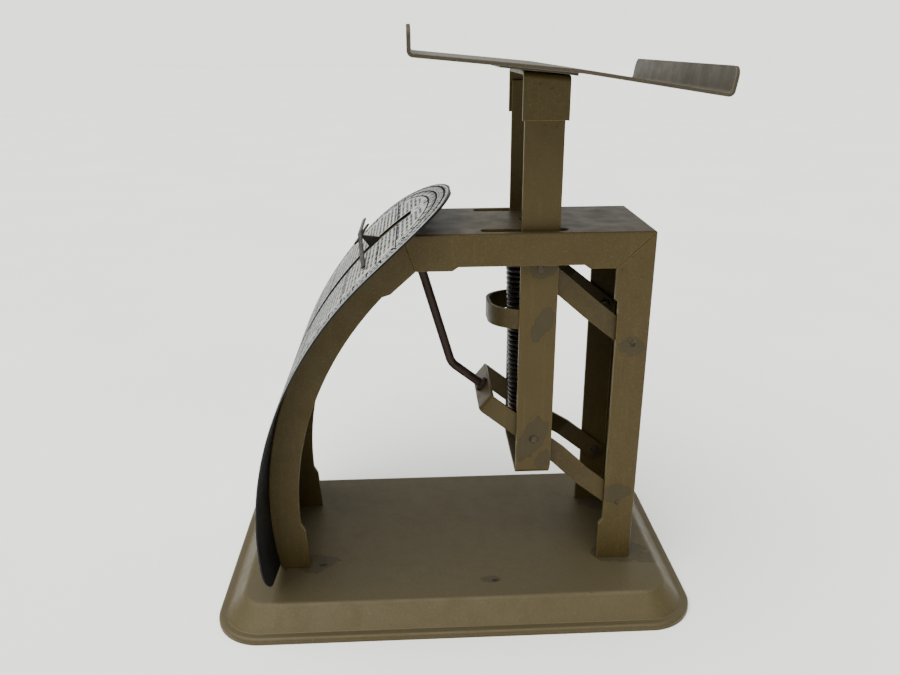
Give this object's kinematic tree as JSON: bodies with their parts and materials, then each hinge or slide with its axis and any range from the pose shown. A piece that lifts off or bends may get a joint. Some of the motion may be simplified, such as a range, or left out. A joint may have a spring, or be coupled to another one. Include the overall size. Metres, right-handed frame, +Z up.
{
  "type": "spring platform scale",
  "caption": "Small mechanical platform scale: tray on a column guided by a lever parallelogram, a coil spring, and a pointer on a curved dial above a sheet-metal base.",
  "frame": {"origin": "centre of the base's footprint, on the surface it stands on", "axes": "+X from the dial to the rear post, +Y away from the side view's near flange, +Z up"},
  "size_m": [0.16, 0.0944, 0.1851],
  "materials": {
    "base_paint": "stoved hammer-smooth enamel, worn",
    "frame_paint": "stoved enamel, satin",
    "column_paint": "stoved enamel, satin",
    "tray_paint": "stoved enamel, semi-gloss, worn",
    "dial_back": "gloss black enamel",
    "dial_card": "printed card under clear lacquer",
    "link_steel": "enamelled strip steel",
    "plain_steel": "oil-blackened steel",
    "spring_wire": "dark tempered spring wire",
    "pin_steel": "dull steel, painted over",
    "pointer_wire": "dark lacquered wire",
    "pointer_sheet": "dark lacquered sheet"
  },
  "bodies": {
    "root": {"base_pan": "base_paint", "frame_channel": "frame_paint", "dial_plate": "dial_back", "dial_face": "dial_card", "spring_anchor": "plain_steel", "rear_lower_pin_near": "pin_steel", "rear_lower_pin_far": "pin_steel", "rear_upper_pin_near": "pin_steel", "rear_upper_pin_far": "pin_steel"},
    "lower_link": {"lower_link": "link_steel", "wire_collar": "plain_steel", "pointer_wire": "pointer_wire", "pointer": "pointer_sheet"},
    "upper_link": {"upper_link_near": "link_steel", "upper_link_far": "link_steel"},
    "column": {"column_strap": "column_paint", "column_cap": "column_paint", "tray": "tray_paint", "tray_stiffener": "tray_paint", "tray_rivets": "pin_steel", "guard_band": "plain_steel", "spring_hook": "plain_steel", "front_lower_pin_near": "pin_steel", "front_lower_pin_far": "pin_steel", "front_upper_pin_near": "pin_steel", "front_upper_pin_far": "pin_steel"},
    "spring_end": {"spring": "spring_wire"},
    "zero_screw": {"zero_screw": "plain_steel"}
  },
  "joints": [
    {"name": "lower_link", "type": "hinge", "parent": "root", "child": "lower_link", "pos_m": [0.0569, 0, 0.0315], "axis": [0, -1, 0], "range_deg": [0, 46], "stiffness_Nm_per_rad": 0.35, "springref_deg": -11.46},
    {"name": "upper_link", "type": "hinge", "parent": "root", "child": "upper_link", "pos_m": [0.0569, 0, 0.0913], "axis": [0, -1, 0], "range_deg": [0, 46]},
    {"name": "column", "type": "hinge", "parent": "lower_link", "child": "column", "pos_m": [0.02759, 0, 0.05498], "axis": [0, -1, 0], "range_deg": [-46, 0]},
    {"name": "spring_stretch", "type": "slide", "parent": "root", "child": "spring_end", "axis": [-0.2705, 0, -0.9627], "range_m": [0, 0.0294], "deforming": ["spring"]},
    {"name": "zero_screw", "type": "hinge", "parent": "root", "child": "zero_screw", "pos_m": [0.0254, 0, 0.127], "axis": [0, 0, 1], "range_deg": [-180, 180]}
  ],
  "couplings": [
    {"joint": "upper_link", "follows": "lower_link", "ratio": 1},
    {"joint": "column", "follows": "lower_link", "ratio": -1},
    {"joint": "spring_stretch", "follows": "lower_link", "m_per_rad": 0.036563}
  ]
}
